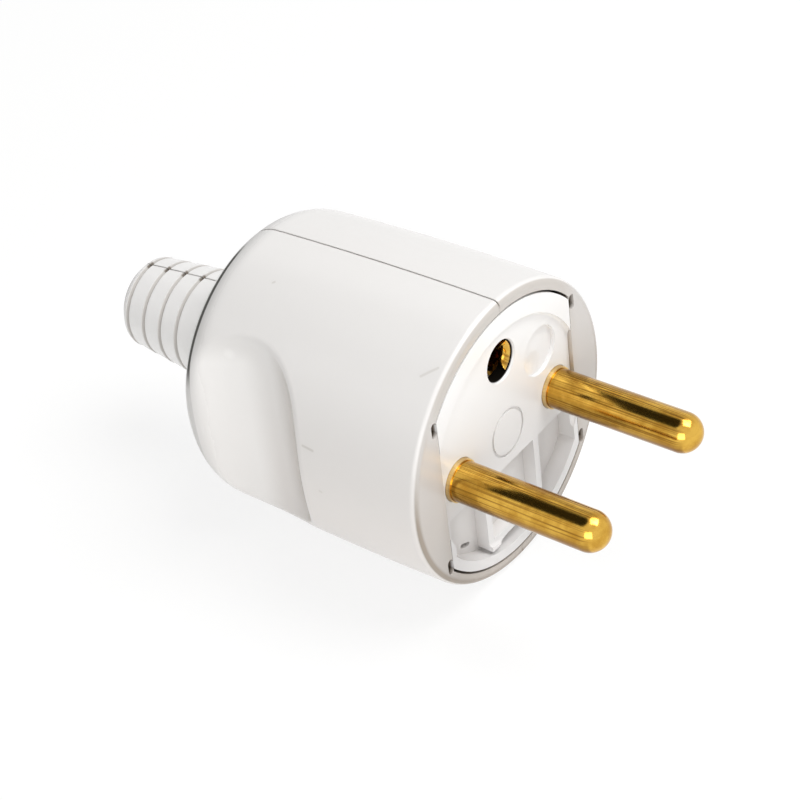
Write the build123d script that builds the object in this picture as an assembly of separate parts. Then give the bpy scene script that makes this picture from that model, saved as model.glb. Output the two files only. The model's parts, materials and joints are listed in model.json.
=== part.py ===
"""Grounded two-pin plug that can be rewired, closed by two half shells.

All sizes are in millimetres. The origin is the centre of the face that meets the socket,
midway between the two pins. X runs from pin to pin, the pins point to -Y, the cord leaves
to +Y, and Z points up from the line of the pins to the hole of the earth contact.
"""

from build123d import *
from math import sqrt
import os

# Pins and socket standard
pin_radius = 2.4
pin_collar_radius = 2.6
pin_reach = 19.0
pin_spacing = 19.0
earth_offset = 10.0
earth_bore_radius = 2.5

# Outside of the two shells
face_radius = 18.3
rear_radius = 17.8
side_bulge = 0.25
rim_round = 0.8
body_length = 36.0
shoulder_length = 5.0
shoulder_width = 4.9
back_rise = 0.9
wall = 2.0
seam_width = 0.2
seam_depth = 0.3

# Finger grips: a cylinder across each side
grip_radius = 10.4
grip_from_back = 10.6
grip_depth = 5.5
grip_edge_round = 1.6

# Ringed tail round the cord
tail_end = 55.0
tail_root_radius = 7.5
tail_tip_radius = 5.6
tail_end_chamfer = 0.9
cord_bore_radius = 4.0
groove_pitch = 2.9
groove_count = 4
last_groove_from_end = 1.6
groove_depth = 0.3
groove_width = 0.6

# Contact carrier, the insert that holds the pins
carrier_radius = 16.5
carrier_flat = 12.8
carrier_gap = 0.3
carrier_side_gap = 0.1
front_wall = 3.0
flange_radius = 16.0
flange_thickness = 2.0
flange_gap = 0.1
carrier_block_radius = 14.1
carrier_block_end = 12.0
shell_ring_radius = 14.5
shell_ring_thickness = 1.5
corner_notch_width = 0.9
corner_notch_height = 2.0
corner_notch_depth = 2.0

# Relief of the face
border_inner_radius = 14.2
face_recess = 0.5
face_step_fillet = 0.45
ejector_x = 7.2
ejector_z = 6.7
ejector_radius = 3.1
ejector_depth = 0.5
mark_radius = 3.1
mark_line_width = 0.35
mark_line_depth = 0.2
pocket_depth = 2.2
pocket_top = -4.3
pocket_border_radius = 15.2
rib_x = 5.0
rib_thickness = 1.0
rib_foot = -13.2
side_rib_thickness = 0.8
pocket_fillet = 0.6
vent_x = -7.8
vent_z = -11.8
vent_length = 1.8
vent_width = 0.6
vent_tilt = -25.0
vent_depth = 1.2

# Pin heads, earth socket and terminals
seat_depth = 4.0
head_radius = 3.1
wire_hole_radius = 1.5
wire_hole_start = 6.5
terminal_y = 9.3
spot_face_depth = 0.4
pin_hole_gap = 0.05
chamber_gap = 0.1
earth_wall = 0.55
earth_start = 2.5
earth_lip = 2.2
earth_slit = 0.9
earth_slit_end = 9.0
earth_collar_radius = 3.5
earth_collar_thickness = 2.0
earth_pillar_end = 18.6
earth_bore_end = 11.2
earth_terminal_y = 16.35
earth_wire_hole_start = 13.8
earth_hole_chamfer = 0.35
spring_start = 5.6
spring_width = 2.6
spring_thickness = 0.4
spring_gap_width = 2.4
snug_gap = 0.03

# Plate that keeps the pins in the carrier
plate_thickness = 1.8
plate_window_radius = 2.3
plate_screw_x = 5.0
plate_screw_z = -8.5
plate_screw_length = 6.0

# Screws and nuts
screw_radius = 1.5
screw_gap = 0.05
screw_head_radius = 2.4
screw_head_height = 1.6
screw_slot_width = 0.7
screw_slot_depth = 0.7
nut_flats = 5.5
nut_thickness = 2.4
nut_gap = 0.1
head_gap = 0.25

# Screws that close the shells
closing_gap = 0.6
closing_z = 12.0
closing_head_x = 7.0
closing_tip_x = -7.0
nut_boss_radius = 4.1
sleeve_boss_radius = 3.0
sleeve_step_x = 5.8

# Cord clamp
clamp_screw_z = 7.9
clamp_foot_thickness = 2.2
clamp_end_gap = 0.1
clamp_bore_radius = 3.8
clamp_arch_radius = 5.5
clamp_tip_x = -7.0
saddle_thickness = 2.6
saddle_gap = 0.2

# Places worked out from the sizes above
pin_x = pin_spacing / 2
grip_y = body_length - grip_from_back
grip_x = face_radius - grip_depth + grip_radius
room_radius = rear_radius - wall
flange_end = front_wall + flange_thickness
ring_end = flange_end + flange_gap + shell_ring_thickness
plate_end = carrier_block_end + plate_thickness
tail_start = body_length + back_rise
closing_y = earth_pillar_end + nut_boss_radius + closing_gap
clamp_width = 2 * screw_head_radius
clamp_y = body_length - wall - clamp_end_gap - clamp_width / 2
clamp_foot_end = clamp_screw_z + screw_head_radius
overshoot = 1.0


def depth_plane(depth):
    """Plane across the body at one depth, with Z upwards in the outline."""
    return Plane((0, depth, 0), x_dir=(1, 0, 0), z_dir=(0, -1, 0))


def slab(outline, start, end):
    """Solid with an X-Z outline between two depths along Y."""
    return extrude(depth_plane(start) * outline, amount=start - end)


def rod_y(x, z, radius, start, end):
    """Round bar along Y."""
    return Pos(x, (start + end) / 2, z) * Rot(90, 0, 0) * Cylinder(radius, end - start)


def rod_x(y, z, radius, start, end):
    """Round bar along X."""
    return Pos((start + end) / 2, y, z) * Rot(0, 90, 0) * Cylinder(radius, end - start)


def rod_z(x, y, radius, start, end):
    """Round bar along Z."""
    return Pos(x, y, (start + end) / 2) * Cylinder(radius, end - start)


def block(x_range, y_range, z_range):
    """Box given by its lowest and highest value on each axis."""
    size = [high - low for low, high in (x_range, y_range, z_range)]
    middle = [(high + low) / 2 for low, high in (x_range, y_range, z_range)]
    return Pos(*middle) * Box(*size)


def tail_radius(y):
    """Outer radius of the tapered tail at a depth."""
    share = (y - tail_start) / (tail_end - tail_start)
    return tail_root_radius + share * (tail_tip_radius - tail_root_radius)


def tail_points(inset):
    """Half outline of the tail, with a V groove between each ring and the next."""
    last = tail_end - last_groove_from_end
    grooves = [last - groove_pitch * step for step in reversed(range(groove_count))]
    points = []
    for y in grooves:
        radius = tail_radius(y) - inset
        points.append((radius, y - groove_width / 2))
        points.append((radius - groove_depth, y))
        points.append((radius, y + groove_width / 2))
    points.append((tail_tip_radius - inset, tail_end - tail_end_chamfer))
    points.append((tail_tip_radius - tail_end_chamfer - inset, tail_end))
    return points


def body_envelope(inset=0.0):
    """Outside of the whole body and tail, turned about Y, or the same form a little inside it."""
    start = (face_radius - inset, rim_round)
    end = (rear_radius - inset, body_length - shoulder_length)
    middle = ((start[0] + end[0]) / 2 + side_bulge, (start[1] + end[1]) / 2)
    rim = CenterArc((start[0] - rim_round, rim_round), rim_round, -90, 90)
    side = ThreePointArc(start, middle, end)
    back = (end[0] - shoulder_width, body_length - inset)
    shoulder = TangentArc(end, back, tangent=side % 1)
    root = (tail_root_radius - inset, tail_start - inset)
    tail = Polyline(root, *tail_points(inset), (0, tail_end))
    edges = [Line((0, 0), rim @ 0), rim, side, shoulder, Line(back, root), tail,
             Line((0, tail_end), (0, 0))]
    return revolve(make_face(Curve() + edges), Axis.Y)


def grips(growth):
    """Cylinders that scoop the two finger grips, larger by a wall for the inside."""
    cutters = [rod_z(side * grip_x, grip_y, grip_radius + growth, -2 * face_radius, 2 * face_radius)
               for side in (-1, 1)]
    return cutters[0] + cutters[1]


def carrier_outline(gap, side_gap):
    """Face of the carrier, or its opening: a circle with its two sides cut flat."""
    return Circle(carrier_radius + gap) & Rectangle(2 * (carrier_flat + side_gap), 2 * face_radius)


def corner_notches():
    """Openings at the four corners of the carrier, in the face of the shells."""
    notch_x = carrier_flat + carrier_side_gap + corner_notch_width / 2
    corner_z = sqrt((carrier_radius + carrier_gap) ** 2 - (carrier_flat + carrier_side_gap) ** 2)
    places = [(sx * notch_x, sz * (corner_z - corner_notch_height / 2))
              for sx in (-1, 1) for sz in (-1, 1)]
    outline = Sketch() + [Pos(*place) * SlotOverall(corner_notch_height, corner_notch_width, rotation=90)
                          for place in places]
    return slab(outline, -overshoot, corner_notch_depth)


def body_cavity():
    """Everything that is empty inside the two shells."""
    mouth = slab(carrier_outline(carrier_gap, carrier_side_gap), -overshoot, front_wall)
    groove = rod_y(0, 0, flange_radius + flange_gap, front_wall, flange_end + flange_gap)
    ring = rod_y(0, 0, shell_ring_radius, flange_end, ring_end)
    inner_round = shoulder_length - wall
    side_end = (room_radius, body_length - shoulder_length)
    corner = CenterArc((room_radius - inner_round, side_end[1]), inner_round, 0, 90)
    edges = [
        Line((0, ring_end), (room_radius, ring_end)),
        Line((room_radius, ring_end), side_end),
        corner,
        Line((room_radius - inner_round, body_length - wall), (0, body_length - wall)),
        Line((0, body_length - wall), (0, ring_end)),
    ]
    room = revolve(make_face(Curve() + edges), Axis.Y) - grips(wall)
    bore = rod_y(0, 0, cord_bore_radius, body_length - wall, tail_end + overshoot)
    return mouth + corner_notches() + groove + ring + room + bore


def hex_pocket(y, z, depth_end, depth_start, flats):
    """Six-sided bar along X, for a nut or the pocket that keeps it from turning."""
    plane = Plane((depth_start, y, z), x_dir=(0, 1, 0), z_dir=(1, 0, 0))
    return extrude(plane * RegularPolygon(flats / 2, 6, major_radius=False), amount=depth_end - depth_start)


def left_bosses():
    """Bosses and cord saddle that rise inside the left shell to the parting plane."""
    solid = rod_x(closing_y, closing_z, nut_boss_radius, -face_radius, 0)
    solid += rod_x(closing_y, -closing_z, nut_boss_radius, -face_radius, 0)
    for z in (clamp_screw_z, -clamp_screw_z):
        solid += rod_x(clamp_y, z, nut_boss_radius, -face_radius, 0)
    half = saddle_thickness / 2
    saddle = block((-face_radius, -saddle_gap), (clamp_y - half, clamp_y + half),
                   (-clamp_screw_z, clamp_screw_z))
    return solid + saddle - rod_y(0, 0, cord_bore_radius, 0, body_length)


def left_holes():
    """Pockets for the four nuts and the blind holes behind them."""
    places = [(closing_y, closing_z, closing_tip_x), (closing_y, -closing_z, closing_tip_x),
              (clamp_y, clamp_screw_z, clamp_tip_x), (clamp_y, -clamp_screw_z, clamp_tip_x)]
    holes = []
    for y, z, tip_x in places:
        pocket = hex_pocket(y, z, overshoot, -nut_thickness - nut_gap, nut_flats + 2 * nut_gap)
        holes.append(pocket + rod_x(y, z, screw_radius + nut_gap, tip_x - nut_gap, 0))
    return holes


def half_form(side):
    """Outside of one half with its finger grip, whose edge is well rounded."""
    reach = side * 2 * face_radius
    half = block((min(0, reach), max(0, reach)), (0, tail_end), (-2 * face_radius, 2 * face_radius))
    solid = (body_envelope() & half) - grips(0)
    deepest = (side * (grip_x - grip_radius), grip_y, 0)
    grip = solid.faces().sort_by_distance(deepest)[0]
    return fillet(grip.edges(), grip_edge_round)


def seam_groove():
    """Narrow step all round the outside where the two halves meet."""
    strip = block((-seam_width / 2, seam_width / 2), (-overshoot, tail_end + overshoot),
                  (-2 * face_radius, 2 * face_radius))
    return strip - body_envelope(seam_depth)


def shell_half(side):
    """One half of the hollow body, before its bosses."""
    return half_form(side) - seam_groove() - body_cavity()


def left_shell():
    """Half shell on the side of the line pin, with the nuts and the cord clamp."""
    bosses = (left_bosses() & half_form(-1)) - seam_groove()
    shell = shell_half(-1) + bosses
    for hole in left_holes():
        shell -= hole
    return shell


def right_shell():
    """Half shell on the side of the neutral pin, with the heads of the closing screws."""
    solid = shell_half(1)
    inside = half_form(1) - seam_groove()
    for z in (closing_z, -closing_z):
        boss = rod_x(closing_y, z, sleeve_boss_radius, 0, face_radius)
        boss += rod_x(closing_y, z, nut_boss_radius, sleeve_step_x, face_radius)
        solid += boss & inside
    for z in (closing_z, -closing_z):
        solid -= rod_x(closing_y, z, screw_radius + nut_gap, -overshoot, face_radius)
        solid -= rod_x(closing_y, z, screw_head_radius + head_gap, closing_head_x, face_radius)
    return solid


def face_relief():
    """What the mould leaves sunk in the visible face of the carrier."""
    recess = rod_y(0, 0, border_inner_radius, -overshoot, face_recess)
    recess = fillet(recess.edges().group_by(Axis.Y)[-1], face_step_fillet)
    ejector = rod_y(ejector_x, ejector_z, ejector_radius, 0, face_recess + ejector_depth)
    mark = Circle(mark_radius) - Circle(mark_radius - mark_line_width)
    line = slab(mark, 0, face_recess + mark_line_depth)
    return recess + ejector + line


def face_pockets():
    """Three sunk fields and a crescent below the pins, parted by ribs."""
    inner = rib_x - rib_thickness / 2
    outer = rib_x + rib_thickness / 2
    side = carrier_flat - side_rib_thickness
    field = Circle(pocket_border_radius) & Pos(0, pocket_top - face_radius) * Rectangle(
        2 * side, 2 * face_radius)
    upright = Pos(rib_x, 0) * Rectangle(rib_thickness, 2 * face_radius)
    ribs = Sketch() + [upright, Pos(-2 * rib_x, 0) * upright]
    foot = Pos(0, rib_foot) * Rectangle(2 * outer, rib_thickness)
    ribs_end = Pos(0, rib_foot - rib_thickness / 2 - face_radius) * Rectangle(2 * inner + 2 * rib_thickness,
                                                                            2 * face_radius)
    outline = field - (ribs - ribs_end) - foot
    pockets = slab(outline, -overshoot, pocket_depth)
    vent = Pos(vent_x, vent_z) * SlotOverall(vent_length, vent_width, rotation=vent_tilt)
    return pockets + slab(vent, 0, pocket_depth + vent_depth)


def contact_carrier():
    """Insert that holds both pins and the earth contact, clamped between the shells."""
    solid = slab(carrier_outline(0, 0), 0, front_wall)
    solid += rod_y(0, 0, flange_radius, front_wall, flange_end)
    solid += rod_y(0, 0, carrier_block_radius, flange_end, carrier_block_end)
    solid -= face_relief()
    solid -= face_pockets()
    chamber = head_radius + chamber_gap
    for side in (-1, 1):
        solid -= rod_y(side * pin_x, 0, pin_collar_radius + pin_hole_gap, -overshoot,
                       carrier_block_end)
        solid -= rod_y(side * pin_x, 0, chamber, seat_depth, carrier_block_end + overshoot)
        access = screw_head_radius + head_gap
        solid -= rod_x(terminal_y, 0, access, min(side * pin_x, side * face_radius),
                       max(side * pin_x, side * face_radius))
        window = (min(side * pin_x, side * face_radius), max(side * pin_x, side * face_radius))
        solid -= block(window, (terminal_y, carrier_block_end + overshoot), (-access, access))
        solid -= rod_y(side * plate_screw_x, plate_screw_z, screw_radius + screw_gap,
                       plate_end - plate_screw_length - nut_gap, carrier_block_end + overshoot)
    earth_hole = rod_y(0, earth_offset, earth_bore_radius, -overshoot, earth_start)
    lead = Pos(0, face_recess, earth_offset) * Rot(-90, 0, 0) * Cone(
        earth_bore_radius + earth_hole_chamfer, earth_bore_radius, 2 * earth_hole_chamfer)
    solid -= earth_hole + lead
    sleeve_room = earth_bore_radius + earth_wall + chamber_gap
    solid -= rod_y(0, earth_offset, sleeve_room, earth_lip, carrier_block_end)
    collar_room = earth_collar_radius + chamber_gap
    solid -= rod_y(0, earth_offset, collar_room, spring_start - chamber_gap,
                   carrier_block_end + overshoot)
    return solid


def pin(side):
    """Solid contact pin with a round tip and a pillar head that takes the wire."""
    x = side * pin_x
    straight = pin_reach - pin_radius
    solid = rod_y(x, 0, pin_radius, -straight, 0)
    solid += rod_y(x, 0, pin_collar_radius, 0, seat_depth)
    solid += Pos(x, -straight, 0) * Sphere(pin_radius)
    solid += rod_y(x, 0, head_radius, seat_depth, carrier_block_end)
    solid -= rod_y(x, 0, wire_hole_radius, wire_hole_start, carrier_block_end + overshoot)
    flat = pin_x + head_radius - spot_face_depth
    far = pin_x + head_radius + overshoot
    solid -= rod_x(terminal_y, 0, screw_head_radius + head_gap, min(side * flat, side * far),
                   max(side * flat, side * far))
    solid -= rod_x(terminal_y, 0, screw_radius + screw_gap, min(x, side * far), max(x, side * far))
    return solid


def screw(length):
    """Slotted screw standing on its tip at the origin, with its head above Z = length."""
    shank = Pos(0, 0, length / 2) * Cylinder(screw_radius, length)
    head = Pos(0, 0, length + screw_head_height / 2) * Cylinder(screw_head_radius, screw_head_height)
    head = chamfer(head.edges().group_by(Axis.Z)[-1], screw_head_height / 5)
    tip = (shank + head).edges().group_by(Axis.Z)[0]
    solid = chamfer(tip, screw_radius / 4)
    slot = Pos(0, 0, length + screw_head_height) * Box(
        3 * screw_head_radius, screw_slot_width, 2 * screw_slot_depth)
    return solid - slot


def terminal_screw(side):
    """Screw that closes a pin's head on its wire, entered from the side."""
    flat = pin_x + head_radius - spot_face_depth
    length = flat - pin_x - screw_gap * 4
    turned = Rot(0, side * 90, 0) * screw(length)
    return Pos(side * (pin_x + screw_gap * 4), terminal_y, 0) * turned


def earth_contact():
    """Slit brass socket for the earth pin, with a pillar behind it for the wire."""
    outer = earth_bore_radius + earth_wall
    z = earth_offset
    solid = rod_y(0, z, outer, earth_start, earth_pillar_end)
    solid += rod_y(0, z, earth_collar_radius, carrier_block_end - earth_collar_thickness,
                   carrier_block_end)
    solid -= rod_y(0, z, earth_bore_radius, 0, earth_bore_end)
    solid -= rod_y(0, z, wire_hole_radius, earth_wire_hole_start, earth_pillar_end + overshoot)
    slit = block((-earth_slit / 2, earth_slit / 2), (0, earth_slit_end), (z - 2 * outer, z + 2 * outer))
    top = z + outer
    solid -= slit
    solid -= rod_z(0, earth_terminal_y, screw_head_radius + head_gap, top - spot_face_depth,
                   top + overshoot)
    solid -= rod_z(0, earth_terminal_y, screw_radius + screw_gap, z, top + overshoot)
    return solid


def earth_terminal_screw():
    """Screw that closes the earth pillar on its wire, entered from above."""
    flat = earth_bore_radius + earth_wall - spot_face_depth
    lift = screw_gap * 4
    return Pos(0, earth_terminal_y, earth_offset + lift) * screw(flat - lift)


def earth_contact_spring():
    """Open steel band that presses the two halves of the earth socket together."""
    inner = earth_bore_radius + earth_wall + snug_gap
    band = Circle(inner + spring_thickness) - Circle(inner)
    band -= Pos(0, -inner) * Rectangle(spring_gap_width, 2 * inner)
    return slab(Pos(0, earth_offset) * band, spring_start, spring_start + spring_width)


def retaining_plate():
    """Insulating plate behind the carrier that keeps pins and earth contact in place."""
    outline = Circle(carrier_block_radius)
    for side in (-1, 1):
        outline -= Pos(side * pin_x, 0) * Circle(plate_window_radius)
        outline -= Pos(side * plate_screw_x, plate_screw_z) * Circle(screw_radius + nut_gap)
    outline -= Pos(0, earth_offset) * Circle(earth_bore_radius + earth_wall + chamber_gap)
    return slab(outline, carrier_block_end, plate_end)


def retaining_screw(side):
    """Screw that holds the retaining plate to the carrier."""
    turned = Rot(-90, 0, 0) * screw(plate_screw_length)
    return Pos(side * plate_screw_x, plate_end - plate_screw_length, plate_screw_z) * turned


def nut(y, z):
    """Hexagon nut kept in its pocket in the left shell."""
    body = hex_pocket(y, z, -nut_gap, -nut_thickness - nut_gap, nut_flats)
    return body - rod_x(y, z, screw_radius + screw_gap, -2 * nut_thickness, overshoot)


def closing_screw(z):
    """Long screw that draws the right shell against the left one."""
    turned = Rot(0, 90, 0) * screw(closing_head_x - closing_tip_x)
    return Pos(closing_tip_x, closing_y, z) * turned


def cord_clamp_bar():
    """Arched bar that presses the cord into the saddle of the left shell."""
    foot = block((0, clamp_foot_thickness), (0, clamp_width), (-clamp_foot_end, clamp_foot_end))
    arch = Pos(0, clamp_width / 2, 0) * Rot(90, 0, 0) * Cylinder(clamp_arch_radius, clamp_width)
    solid = foot + arch - Pos(0, clamp_width / 2, 0) * Rot(90, 0, 0) * Cylinder(
        clamp_bore_radius, 2 * clamp_width)
    solid &= block((0, face_radius), (0, clamp_width), (-face_radius, face_radius))
    solid = Pos(0, clamp_y - clamp_width / 2, 0) * solid
    for z in (clamp_screw_z, -clamp_screw_z):
        solid -= rod_x(clamp_y, z, screw_radius + nut_gap, -overshoot, clamp_foot_thickness + overshoot)
    return solid


def cord_clamp_screw(z):
    """Screw that pulls one foot of the clamp bar down."""
    turned = Rot(0, 90, 0) * screw(clamp_foot_thickness - clamp_tip_x)
    return Pos(clamp_tip_x, clamp_y, z) * turned


def all_pieces():
    """Every piece with the name of its node."""
    return {
        "left_shell": left_shell(),
        "right_shell": right_shell(),
        "contact_carrier": contact_carrier(),
        "retaining_plate": retaining_plate(),
        "retaining_screw_left": retaining_screw(-1),
        "retaining_screw_right": retaining_screw(1),
        "line_pin": pin(-1),
        "neutral_pin": pin(1),
        "line_terminal_screw": terminal_screw(-1),
        "neutral_terminal_screw": terminal_screw(1),
        "earth_contact": earth_contact(),
        "earth_contact_spring": earth_contact_spring(),
        "earth_terminal_screw": earth_terminal_screw(),
        "cord_clamp_bar": cord_clamp_bar(),
        "cord_clamp_screw_upper": cord_clamp_screw(clamp_screw_z),
        "cord_clamp_screw_lower": cord_clamp_screw(-clamp_screw_z),
        "cord_clamp_nut_upper": nut(clamp_y, clamp_screw_z),
        "cord_clamp_nut_lower": nut(clamp_y, -clamp_screw_z),
        "closing_screw_upper": closing_screw(closing_z),
        "closing_screw_lower": closing_screw(-closing_z),
        "closing_nut_upper": nut(closing_y, closing_z),
        "closing_nut_lower": nut(closing_y, -closing_z),
    }


os.makedirs("parts", exist_ok=True)
for name, piece in all_pieces().items():
    export_step(piece, f"parts/{name}.step")
    print(name, round(piece.volume, 2))
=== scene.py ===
"""Look of the grounded plug: white moulded shells, white insert, polished brass pins.

Metres, in the frame of the construction: X from pin to pin, the pins point to -Y,
the cord leaves to +Y, Z up.
"""

import json
import math

import bmesh
import bpy
from mathutils import Matrix, Quaternion, Vector


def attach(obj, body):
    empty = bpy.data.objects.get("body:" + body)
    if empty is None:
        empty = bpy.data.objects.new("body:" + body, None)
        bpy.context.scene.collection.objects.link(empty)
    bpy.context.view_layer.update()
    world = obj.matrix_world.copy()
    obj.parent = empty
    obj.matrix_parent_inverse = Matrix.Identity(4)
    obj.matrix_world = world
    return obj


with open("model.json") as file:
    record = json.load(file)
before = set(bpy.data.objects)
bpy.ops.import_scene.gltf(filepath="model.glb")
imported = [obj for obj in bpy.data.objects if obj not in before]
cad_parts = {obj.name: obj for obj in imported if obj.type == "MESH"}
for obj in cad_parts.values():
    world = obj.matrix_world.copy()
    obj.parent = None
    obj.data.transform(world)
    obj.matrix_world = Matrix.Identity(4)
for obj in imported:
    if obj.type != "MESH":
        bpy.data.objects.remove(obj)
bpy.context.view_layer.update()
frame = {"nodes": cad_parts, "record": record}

# Camera, found from the pins, the rim and the seam in the photograph
camera_place = Vector((-0.15791, -0.12259, 0.16070))
camera_target = Vector((-0.00074, 0.01525, -0.00051))
camera_roll = math.radians(-7.635)
lens_mm = 102.36
sensor_mm = 36.0
nearest_seen = 0.01
farthest_seen = 10

# Studio
floor_z = -0.0186
floor_size = 3.0
floor_glow = 1.03
glow_share = 0.8
soft_light = 0.50
rear_light = 0.28
rear_edge = (-0.2, 0.7)
lamp_target = Vector((0, 0.012, 0))
key_power = 2.5
key_size = 0.35
key_place = Vector((0.13, -0.19, 0.50))
side_power = 0.75
side_size = 0.30
side_place = Vector((-0.40, -0.20, 0.10))
card_direction = Vector((-0.2, 0.462, 0.864)).normalized()
card_edge = (0.87, 0.94)
card_depth = 0.97

# Places on the plug
pin_x = 0.0095
earth_z = 0.010
body_radius = 0.01830
body_taper = 0.0005
last_groove_y = 0.0534
groove_pitch = 0.0029
notch_x = 0.01335
notch_z = 0.0096
# Painted highlight streak on the rear of the grip
highlight_streak_top = (-0.0140, 0.0285, 0.0095)
highlight_streak_foot = (-0.0156, 0.0275, 0.0045)
highlight_streak_width = 0.0016
press_mark = (0.0063, 0.0004, 0.0054)
press_mark_end = (0.0063, 0.0006, 0.0054)
press_mark_width = 0.0017

# Spring tongue in the earth hole
tongue_front = 0.00095
tongue_length = 0.0014
tongue_front_radius = 0.00246
tongue_back_radius = 0.00175
tongue_thickness = 0.00014
tongue_top = math.radians(42)
tongue_foot = math.radians(-62)
tongue_slant = 0.55
tongue_segments = 72

# Marks of use, the first four as in the photograph: two ends, a half width, a strength
scuffs = [
    ((-0.01108, 0.00282, 0.01460), (-0.00987, 0.00133, 0.01545), 0.00024, 0.34),
    ((-0.01771, 0.01545, 0.00471), (-0.01775, 0.01403, 0.00459), 0.00024, 0.45),
    ((-0.00715, 0.02616, 0.01660), (-0.00701, 0.02600, 0.01660), 0.00024, 0.40),
    ((-0.01832, 0.01340, -0.00054), (-0.01832, 0.01310, -0.00057), 0.00024, 0.45),
    ((0.0142, 0.0080, 0.0115), (0.0150, 0.0100, 0.0105), 0.00014, 0.30),
    ((0.0100, 0.0145, -0.0153), (0.0112, 0.0150, -0.0145), 0.00014, 0.30),
]

# Edges on the shells: where a mask is 0 and where it is 1
shell_light_height_z = (-0.012, 0.018)
front_face_y = (0.0003, 0.0001)
front_face_x = (0.0115, 0.0145)
seam_x = (0.00024, 0.00010)
tail_light_y = (0.0370, 0.0380)
tail_y = (0.0430, 0.0434)
outside_bore = (0.0042, 0.0044)
groove_half_width = (0.00040, 0.00014)
speck_x = (0.0007, 0.0004)
end_ring_y = (0.0540, 0.0543)
end_ring_radius = (0.0040, 0.0046)
shoulder_radius = (0.0120, 0.0124)
shoulder_upper_z = (0.0040, 0.0075)
shoulder_side_x = (0.0018, 0.0050)
taper_y = (0.016, 0.031)
grip_front_y = (0.0235, 0.0183)
grip_line_y = (0.0205, 0.0185)
grip_depth = (0.00014, 0.00034)
grip_radius = (0.0115, 0.0125)
grip_lower_z = (0.008, -0.004)
grip_rear_y = (0.0235, 0.0280)
grip_rear_x = (0.0105, 0.0125)
grip_rear_z = (0.0115, 0.0080)
notch_half_x = (0.0012, 0.0009)
notch_half_z = (0.0016, 0.0012)
notch_radius = (0.0174, 0.0171)

# Bands on the shells: where a mask starts, becomes 1, leaves 1 and ends
shoulder_line_y = (0.0334, 0.0336, 0.0342, 0.0344)
shoulder_shade_y = (0.0316, 0.0335, 0.0342, 0.0352)
grip_line_depth = (0.00015, 0.00035, 0.0004, 0.0011)
mouth_edge_radius = (0.0164, 0.0166, 0.01665, 0.01690)
mouth_edge_y = (0.0001, 0.0004, 0.0030, 0.0040)
notch_y = (0.0002, 0.0006, 0.0024, 0.0032)

# Edges on the insert
insert_light_height_z = (-0.004, 0.015)
hole_radius = (0.00290, 0.00275)
hole_y = (0.00066, 0.00085)
insert_side_radius = (0.01638, 0.01646)
insert_side_y = (0.0002, 0.0006)
pocket_y = (0.0006, 0.0028)
pocket_z = (-0.0030, -0.0044)

# Edges on the pins, and how close their drawing lines, darkened as painted reflections, lie round,
# along and from pin to pin
shank_y = (-0.0182, -0.0166)
pin_side_radius = (0.0020, 0.0022)
underside = (0.40, -0.60)
top_line_middle = 0.10
top_line_turn = (0.55, 0.30)
collar_radius = (0.00243, 0.00250)
collar_y = (0.0012, 0.0004)
lines_round = 9.0
lines_along = 24.0
lines_apart = 4.0

# Colours of the plastics, with painted light and painted shade among them
# The shell darker towards the bottom and lighter at the top: painted shade and painted light
shell_lower_shade = (0.735, 0.698, 0.672, 1)
shell_upper_light = (0.80, 0.785, 0.770, 1)
# Lighter tail: painted light
tail_painted_light = (0.87, 0.86, 0.85, 1)
# Lighter, cooler front face of the shell: painted light
front_painted_light = (0.89, 0.90, 0.92, 1)
# Painted highlight on the grip rears and along the highlight streak
painted_highlight_white = (0.93, 0.915, 0.90, 1)
mottle_white = (0.70, 0.67, 0.645, 1)
# Painted shade at the front of the grips
grip_shade_brown = (0.34, 0.29, 0.24, 1)
# Dark seam, and painted shade in the tail grooves and on the end ring
seam_and_shade_grey = (0.24, 0.21, 0.18, 1)
# Painted shade: a dark line and a soft shade round the shoulder
shoulder_shade_black = (0.02, 0.019, 0.012, 1)
# Painted shade in the seam's specks at the grooves, the gap round the insert and the corner notches
shell_gap_shade_brown = (0.10, 0.075, 0.05, 1)
scuff_grey = (0.42, 0.39, 0.35, 1)
# The insert darker towards the bottom and lighter at the top: painted shade and painted light
insert_lower_shade = (0.71, 0.70, 0.697, 1)
insert_upper_light = (0.93, 0.927, 0.925, 1)
insert_cloud = (0.68, 0.655, 0.63, 1)
# Painted shade in the lower pockets
pocket_shade_brown = (0.52, 0.46, 0.40, 1)
# Painted shade on the side of the insert in its gap, and in the corner notches
insert_gap_shade_brown = (0.16, 0.105, 0.06, 1)
# Painted shade in the earth hole
hole_shade_black = (0.012, 0.010, 0.008, 1)
plate_dark = (0.62, 0.59, 0.53, 1)
plate_light = (0.70, 0.68, 0.63, 1)

# Colours of the metals, with painted dark reflections on the brass
brass_light = (0.78, 0.475, 0.085, 1)
brass_deep = (0.54, 0.285, 0.038, 1)
# Painted dark reflections: lines along the pins and their undersides
brass_reflection_dark = (0.24, 0.105, 0.014, 1)
brass_reflection_darkest = (0.12, 0.05, 0.008, 1)
brass_under_reflection = (0.20, 0.085, 0.012, 1)
collar_brass = (0.86, 0.68, 0.36, 1)
steel_bright = (0.60, 0.60, 0.61, 1)
steel_dull = (0.46, 0.46, 0.47, 1)

# Colours of the studio
white = (1, 1, 1, 1)
floor_white = (0.93, 0.93, 0.92, 1)

# Roughness where a surface is clean, and how strongly the plastics bend light
shell_roughness = 0.22
insert_roughness = 0.27
brass_roughness = 0.13
steel_roughness = 0.28
plate_roughness = 0.5
plastic_ior = 1.49


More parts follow.
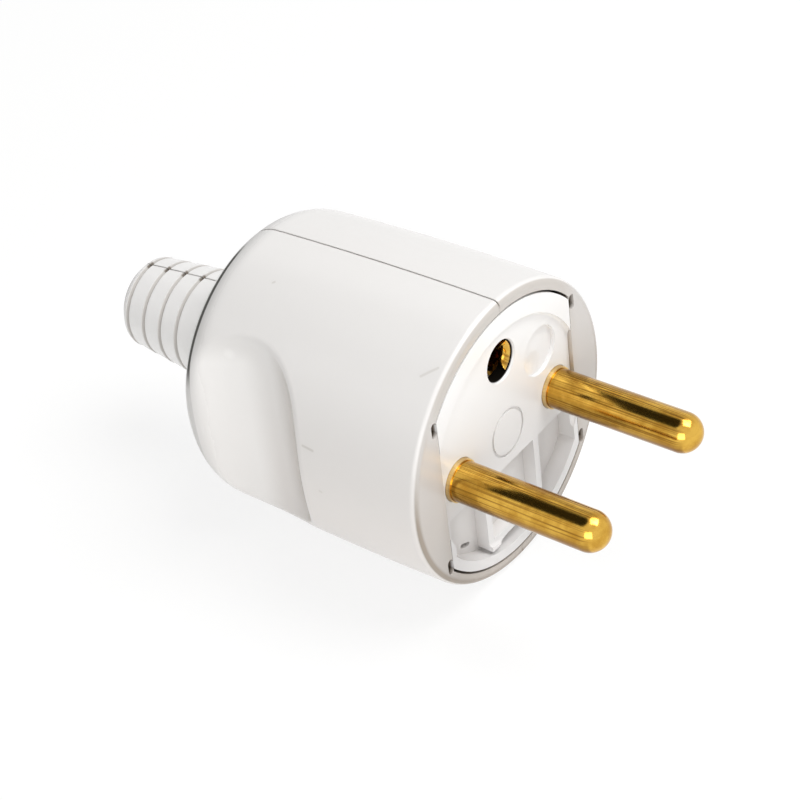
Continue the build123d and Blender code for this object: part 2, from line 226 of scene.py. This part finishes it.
class Wire:
    """Output of a shader node that takes part in arithmetic."""

    def __init__(self, tree, made=None, output=0):
        self.tree = tree
        self.made = made
        self.socket = made.outputs[output] if made and len(made.outputs) else None

    def output(self, name):
        """Another output of the same node."""
        return Wire(self.tree, self.made, name)

    def node(self, kind, settings=None, inputs=None, output=0):
        """Add a node, set it up, fill its sockets with values or links, return an output."""
        made = self.tree.nodes.new(kind)
        for name, value in (settings or {}).items():
            setattr(made, name, value)
        for name, value in (inputs or {}).items():
            if isinstance(value, Wire):
                self.tree.links.new(value.socket, made.inputs[name])
            else:
                made.inputs[name].default_value = value
        return Wire(self.tree, made, output)

    def math(self, operation, *values):
        return self.node("ShaderNodeMath", {"operation": operation}, dict(enumerate(values)))

    def vector(self, operation, inputs, output=0):
        return self.node("ShaderNodeVectorMath", {"operation": operation}, inputs, output)

    def __add__(self, other):
        return self.math("ADD", self, other)

    def __radd__(self, other):
        return self.math("ADD", other, self)

    def __sub__(self, other):
        return self.math("SUBTRACT", self, other)

    def __rsub__(self, other):
        return self.math("SUBTRACT", other, self)

    def __mul__(self, other):
        return self.math("MULTIPLY", self, other)

    def __rmul__(self, other):
        return self.math("MULTIPLY", other, self)

    def __truediv__(self, other):
        return self.math("DIVIDE", self, other)

    def __rtruediv__(self, other):
        return self.math("DIVIDE", other, self)

    def __pow__(self, other):
        return self.math("POWER", self, other)

    def __abs__(self):
        return self.math("ABSOLUTE", self)


def fade(value, start, full):
    """0 at the start, 1 where full, smooth between; the start may be the larger one."""
    return value.node("ShaderNodeMapRange", {"interpolation_type": "SMOOTHSTEP"}, {
        "Value": value, "From Min": start, "From Max": full, "To Min": 0.0, "To Max": 1.0})


def band(value, start, full, still, end):
    """1 from full to still, 0 before the start and past the end."""
    return fade(value, start, full) * fade(value, end, still)


def largest(*values):
    """The larger of several masks."""
    result = values[0]
    for value in values[1:]:
        result = result.math("MAXIMUM", result, value)
    return result


def blend(share, first, second):
    """Colour that goes from the first to the second with the share."""
    return share.node("ShaderNodeMix", {"data_type": "RGBA"}, {0: share, 6: first, 7: second}, 2)


def paint(tone, layers):
    """Colour with layers laid over it in turn, each with the share it covers and its colour."""
    for share, colour in layers:
        tone = blend(share, tone, colour)
    return tone


def noise(place, scale, detail, roughness=0.5, stretch=(1, 1, 1)):
    """Smooth random value from 0 to 1, with a feature about every 1/scale metres."""
    scaled = place.node("ShaderNodeMapping", None, {"Vector": place, "Scale": stretch})
    return place.node("ShaderNodeTexNoise", None, {
        "Vector": scaled, "Scale": scale, "Detail": detail, "Roughness": roughness})


def bump(height, strength, distance):
    """Normal of a surface with this relief."""
    return height.node("ShaderNodeBump", None, {
        "Height": height, "Strength": strength, "Distance": distance})


def near_line(place, start, end, width):
    """Mask of the surface within a width of a short line."""
    start, end = Vector(start), Vector(end)
    along = end - start
    offset = place.vector("SUBTRACT", {0: place, 1: start})
    share = offset.vector("DOT_PRODUCT", {0: offset, 1: along / along.length_squared}, 1)
    share = share.node("ShaderNodeClamp", None, {"Value": share})
    back = share.vector("SCALE", {0: along, "Scale": share})
    rest = offset.vector("SUBTRACT", {0: offset, 1: back})
    return fade(rest.vector("LENGTH", {0: rest}, 1), width, width * 0.35)


def new_material(name):
    """Material with an empty tree, and the place of each point on the part."""
    material = bpy.data.materials.new(name)
    material.use_nodes = True
    material.node_tree.nodes.clear()
    return material, Wire(material.node_tree).node("ShaderNodeTexCoord", output="Object")


def coordinates(place):
    """The X, Y and Z of a place."""
    split = place.node("ShaderNodeSeparateXYZ", None, {0: place})
    return split.output(0), split.output(1), split.output(2)


def distance(first, second):
    """Length of the hypotenuse over two sides."""
    return (first * first + second * second) ** 0.5


def finish_material(place, fixed, varied):
    """Principled shader with its fixed and its varying sockets, joined to the output."""
    shader = place.node("ShaderNodeBsdfPrincipled", None, {**fixed, **varied})
    place.node("ShaderNodeOutputMaterial", None, {"Surface": shader})


def tail_grooves(x, y, radius):
    """Masks of the rings round the tail and of the specks where the seam crosses them, both used
    for painted shade.
    """
    step = (last_groove_y - y) / groove_pitch + 0.5
    to_groove = abs(step.math("FRACT", step) - 0.5) * groove_pitch
    on_tail = fade(y, *tail_y) * fade(radius, *outside_bore)
    groove = fade(to_groove, *groove_half_width) * on_tail
    return groove, groove * fade(abs(x), *speck_x)


def shoulder_shade_mask(x, y, z, radius):
    """Mask of painted shade round the shoulder: a thin dark line, darkest at the upper sides, and a
    soft shade.
    """
    upper = 0.30 + fade(z, *shoulder_upper_z) * 0.70
    beside = 0.25 + fade(abs(x), *shoulder_side_x) * 0.75
    line = band(y, *shoulder_line_y) * upper * beside
    shade = band(y, *shoulder_shade_y) * 0.16
    return largest(line * 0.95, shade) * fade(radius, *shoulder_radius)


def grip_shade(y, z, radius):
    """Mask of the shade inside the front edge of the grips, darkest along its lower half."""
    depth = body_radius - fade(y, *taper_y) * body_taper - radius
    front = fade(y, *grip_front_y) * fade(depth, *grip_depth) * fade(radius, *grip_radius)
    line = band(depth, *grip_line_depth) * fade(y, *grip_line_y)
    lower = fade(z, *grip_lower_z)
    return front * (0.46 + lower * 0.20) + line * (0.10 + lower * 0.38)


def corner_notches(x, y, z, radius):
    """Mask of the four small notches at the ends of the flats of the insert, used for painted
    shade.
    """
    beside = fade(abs(abs(x) - notch_x), *notch_half_x)
    above = fade(abs(abs(z) - notch_z), *notch_half_z)
    return beside * above * band(y, *notch_y) * fade(radius, *notch_radius)


def white_shell():
    """Warm white glossy moulding with its seam, grooves and a few scuffs, painted light on the top,
    the tail, the grip rears, a highlight streak and the front face, and painted shade in the grips,
    grooves, gaps, notches and round the shoulder.
    """
    material, place = new_material("shell_plastic")
    x, y, z = coordinates(place)
    radius = distance(x, z)
    mottle = noise(place, scale=420.0, detail=4.0, roughness=0.65)
    grain = noise(place, scale=1400.0, detail=2.0)
    seam = fade(abs(x), *seam_x)
    groove, seam_speck_shade = tail_grooves(x, y, radius)
    # Painted shade on the end ring of the tail
    end_ring_shade = fade(y, *end_ring_y) * fade(radius, *end_ring_radius)
    # Painted shade round the shoulder
    shoulder = shoulder_shade_mask(x, y, z, radius)
    highlight_streak = near_line(place, highlight_streak_top, highlight_streak_foot, highlight_streak_width)
    # Painted light on the rear of the grips
    grip_rear_light = fade(y, *grip_rear_y) * fade(abs(x), *grip_rear_x) * fade(z, *grip_rear_z)
    # Painted light on the front face
    front_face_light = fade(y, *front_face_y) * fade(abs(x), *front_face_x)
    mouth_gap_shade = band(radius, *mouth_edge_radius) * band(y, *mouth_edge_y)
    notches = corner_notches(x, y, z, radius)
    marks = largest(*[near_line(place, start, end, width) * strength
                      for start, end, width, strength in scuffs])
    # Painted light and shade laid over the shell's own colour, mottle, seam and scuffs
    tone = paint(blend(fade(z, *shell_light_height_z), shell_lower_shade, shell_upper_light), [
        (fade(y, *tail_light_y), tail_painted_light),
        (largest(grip_rear_light * 0.75, highlight_streak * 0.8), painted_highlight_white),
        (front_face_light * 0.8, front_painted_light),
        (mottle * 0.12, mottle_white),
        (grip_shade(y, z, radius), grip_shade_brown),
        (largest(seam * 0.15, groove * 0.60, end_ring_shade * 0.75), seam_and_shade_grey),
        (shoulder, shoulder_shade_black),
        (largest(seam_speck_shade * 0.9, mouth_gap_shade * 0.6, notches * 0.95), shell_gap_shade_brown),
        (marks, scuff_grey),
    ])
    dull = largest(groove * 0.35, shoulder * 0.6, marks * 0.2)
    relief = grain * 0.3 + mottle * 0.4 - marks * 0.6
    finish_material(place, {"IOR": plastic_ior}, {
        "Base Color": tone,
        "Roughness": shell_roughness + mottle * 0.07 + dull,
        "Normal": bump(relief, strength=0.10, distance=0.0002),
    })
    return material


def white_insert():
    """The cooler white of the insert, lighter at the top as painted light, with painted shade in
    the earth hole, the pockets, the gaps and the notches, and a small round press mark.
    """
    material, place = new_material("carrier_plastic")
    x, y, z = coordinates(place)
    radius = distance(x, z)
    cloud = noise(place, scale=90.0, detail=2.0)
    grain = noise(place, scale=1200.0, detail=2.0)
    waves = noise(place, scale=240.0, detail=2.0)
    # Painted shade in the earth hole
    hole = fade(distance(x, z - earth_z), *hole_radius) * fade(y, *hole_y)
    # Painted shade on the side of the insert in the gap round it
    side = fade(radius, *insert_side_radius) * fade(y, *insert_side_y)
    notches = corner_notches(x, y, z, radius)
    # Painted shade in the lower pockets
    pocket_shade = fade(y, *pocket_y) * fade(z, *pocket_z)
    mark = near_line(place, press_mark, press_mark_end, press_mark_width)
    # Painted light at the top and painted shade in the pockets, the gaps and the earth hole
    tone = paint(blend(fade(z, *insert_light_height_z), insert_lower_shade, insert_upper_light), [
        (cloud * 0.12, insert_cloud),
        (pocket_shade * 0.22, pocket_shade_brown),
        (largest(side * 0.7, notches * 0.9), insert_gap_shade_brown),
        (hole, hole_shade_black),
    ])
    relief = grain * 0.3 + waves - mark * 8.0
    finish_material(place, {"IOR": plastic_ior}, {
        "Base Color": tone,
        "Roughness": insert_roughness + cloud * 0.08 + hole * 0.6,
        "Metallic": hole,
        "Normal": bump(relief, strength=0.12, distance=0.0002),
    })
    return material


def polished_brass():
    """Golden brass with drawing lines along each pin, darkened in colour as painted reflections,
    and a painted dark reflection on its underside.
    """
    material, place = new_material("brass")
    x, y, z = coordinates(place)
    pin_side = x.math("SIGN", x)
    across = x - pin_side * pin_x
    radius = distance(across, z)
    turn = across.math("ARCTAN2", across, z)
    strip = turn.node("ShaderNodeCombineXYZ", None, {
        0: turn * lines_round, 1: y * lines_along, 2: pin_side * lines_apart})
    lines = noise(strip, scale=1.0, detail=4.0, roughness=0.7)
    fine = noise(strip, scale=4.0, detail=2.0, roughness=0.6)
    patches = noise(place, scale=420.0, detail=4.0, roughness=0.6)
    shank = fade(y, *shank_y)
    dark_reflection_lines = fade(lines, 0.48, 0.62) * shank
    top_reflection_lines = fade(abs(turn - top_line_middle), *top_line_turn) * fade(fine, 0.46, 0.58) * shank
    under = fade(z / radius, *underside) * fade(radius, *pin_side_radius)
    collar = fade(radius, *collar_radius) * fade(y, *collar_y)
    # Painted dark reflections laid over the brass patches: lines along the pins and the underside
    tone = paint(blend(fade(patches, 0.3, 0.7), brass_light, brass_deep), [
        (dark_reflection_lines * 0.8, brass_reflection_dark),
        (top_reflection_lines * 0.8, brass_reflection_darkest),
        (under * 0.78, brass_under_reflection),
        (collar * 0.6, collar_brass),
    ])
    worn = fade(lines, 0.4, 0.7) * shank * 0.08 + fade(patches, 0.4, 0.7) * 0.04 + collar * 0.2
    relief = (lines * 0.7 + fine * 0.3) * shank
    finish_material(place, {"Metallic": 1.0}, {
        "Base Color": tone,
        "Roughness": brass_roughness + worn,
        "Normal": bump(relief, strength=0.12, distance=0.00008),
    })
    return material


def plated_steel():
    """Zinc plated screws, nuts and spring, with turning marks and dull spots."""
    material, place = new_material("plated_steel")
    patches = noise(place, scale=700.0, detail=4.0, roughness=0.6)
    lines = noise(place, scale=1.0, detail=3.0, roughness=0.6, stretch=(700, 5000, 5000))
    finish_material(place, {"Metallic": 1.0}, {
        "Base Color": blend(fade(patches, 0.35, 0.7), steel_bright, steel_dull),
        "Roughness": steel_roughness + fade(lines, 0.35, 0.65) * 0.14,
        "Normal": bump(lines, strength=0.2, distance=0.00008),
    })
    return material


def natural_plate():
    """Matt natural moulding of the parts that only an open plug shows."""
    material, place = new_material("natural_plastic")
    cloud = noise(place, scale=240.0, detail=4.0)
    grain = noise(place, scale=2400.0, detail=2.0)
    finish_material(place, {}, {
        "Base Color": blend(fade(cloud, 0.35, 0.65), plate_dark, plate_light),
        "Roughness": plate_roughness + fade(cloud, 0.3, 0.7) * 0.1,
        "Normal": bump(grain, strength=0.25, distance=0.0001),
    })
    return material


def dress_nodes():
    """Give every node the finish of its slot, and return the finishes by slot."""
    finishes = {
        "shell": white_shell(),
        "carrier": white_insert(),
        "contact": polished_brass(),
        "screw": plated_steel(),
        "plate": natural_plate(),
    }
    slots = {part["node"]: part["material_slot"] for part in frame["record"]["subparts"]}
    for name, node in frame["nodes"].items():
        node.data.materials.clear()
        node.data.materials.append(finishes[slots[name]])
    return finishes


def make_object(name, shape, material):
    """Object at the origin from a finished shape."""
    mesh = bpy.data.meshes.new(name)
    shape.to_mesh(mesh)
    shape.free()
    mesh.materials.append(material)
    made = bpy.data.objects.new(name, mesh)
    bpy.context.scene.collection.objects.link(made)
    return made


def cut_away(shape, place, outward):
    """Cut a shape along a plane and drop what lies outward of it."""
    bmesh.ops.bisect_plane(shape, geom=shape.verts[:] + shape.edges[:] + shape.faces[:],
                           plane_co=place, plane_no=outward, clear_outer=True)


def make_earth_tongue(brass):
    """Spring tongue of the earth contact, slanting inward just behind the face."""
    shape = bmesh.new()
    centre = Vector((0, tongue_front + tongue_length / 2, earth_z))
    bmesh.ops.create_cone(shape, segments=tongue_segments, depth=tongue_length,
                          radius1=tongue_front_radius, radius2=tongue_back_radius,
                          matrix=Matrix.Translation(centre) @ Matrix.Rotation(-math.pi / 2, 4, "X"))
    for angle, sign in ((tongue_top, 1), (tongue_foot, -1)):
        edge = Vector((math.cos(angle), 0, math.sin(angle))) * tongue_front_radius
        outward = Vector((-math.sin(angle), tongue_slant * sign, math.cos(angle))) * sign
        cut_away(shape, Vector((0, tongue_front, earth_z)) + edge, outward)
    middle = (tongue_top + tongue_foot) / 2
    cut_away(shape, (0, 0, earth_z), (-math.cos(middle), 0, -math.sin(middle)))
    bmesh.ops.solidify(shape, geom=shape.faces[:], thickness=tongue_thickness)
    bmesh.ops.recalc_face_normals(shape, faces=shape.faces[:])
    tongue = make_object("earth_tongue", shape, brass)
    for face in tongue.data.polygons:
        face.use_smooth = True
    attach(tongue, "root")


def add_to_scene(name, data, place, target, roll=0.0):
    """Camera or lamp that looks from its place at a target, turned by the roll."""
    item = bpy.data.objects.new(name, data)
    item.location = place
    item.rotation_mode = "QUATERNION"
    level = (target - place).to_track_quat("-Z", "Y")
    item.rotation_quaternion = level @ Quaternion((0, 0, 1), roll)
    bpy.context.scene.collection.objects.link(item)
    return item


def make_camera():
    """Camera at the photograph's place and angle."""
    data = bpy.data.cameras.new("camera")
    data.lens = lens_mm
    data.sensor_width = sensor_mm
    data.clip_start = nearest_seen
    data.clip_end = farthest_seen
    camera = add_to_scene("camera", data, camera_place, camera_target, camera_roll)
    bpy.context.scene.camera = camera


def make_lamp(name, power, size, place):
    """Square soft lamp that shines at the plug."""
    data = bpy.data.lights.new(name, "AREA")
    data.energy = power
    data.size = size
    add_to_scene(name, data, place, lamp_target)


def view_share(start):
    """1 for rays that see the background: from the camera, by reflection or through glass."""
    path = start.node("ShaderNodeLightPath")
    rays = ("Is Camera Ray", "Is Glossy Ray", "Is Transmission Ray")
    return largest(*[path.output(name) for name in rays])


def make_world():
    """White surroundings to look at, softer light from them, a dark card above and behind."""
    world = bpy.data.worlds.new("studio")
    world.use_nodes = True
    world.node_tree.nodes.clear()
    direction = Wire(world.node_tree).node("ShaderNodeTexCoord", output="Generated")
    to_rear = direction.vector("DOT_PRODUCT", {0: direction, 1: (0, 1, 0)}, 1)
    to_card = direction.vector("DOT_PRODUCT", {0: direction, 1: card_direction}, 1)
    light = soft_light + fade(to_rear, *rear_edge) * (rear_light - soft_light)
    camera_ray = direction.node("ShaderNodeLightPath", output="Is Camera Ray")
    card = fade(to_card, *card_edge) * (1 - camera_ray)
    seen = view_share(direction)
    strength = (seen + (1 - seen) * light) * (1 - card * card_depth)
    surround = direction.node("ShaderNodeBackground", None, {"Color": white, "Strength": strength})
    direction.node("ShaderNodeOutputWorld", None, {"Surface": surround})
    bpy.context.scene.world = world


def floor_material():
    """Pale floor that reads as white and keeps the shadow of the plug."""
    material, place = new_material("floor")
    matt = place.node("ShaderNodeBsdfDiffuse", None, {"Color": floor_white})
    glow = place.node("ShaderNodeEmission", None, {"Color": white, "Strength": floor_glow})
    both = place.node("ShaderNodeMixShader", None, {
        0: view_share(place) * glow_share, 1: matt, 2: glow})
    place.node("ShaderNodeOutputMaterial", None, {"Surface": both})
    return material


def make_floor():
    """Plain floor under the plug."""
    shape = bmesh.new()
    bmesh.ops.create_grid(shape, x_segments=1, y_segments=1, size=floor_size,
                          matrix=Matrix.Translation((0, 0, floor_z)))
    make_object("floor", shape, floor_material())


make_camera()
finishes = dress_nodes()
make_earth_tongue(finishes["contact"])
make_world()
make_floor()
make_lamp("key", key_power, key_size, key_place)
make_lamp("side", side_power, side_size, side_place)
bpy.context.scene.view_settings.view_transform = "Standard"
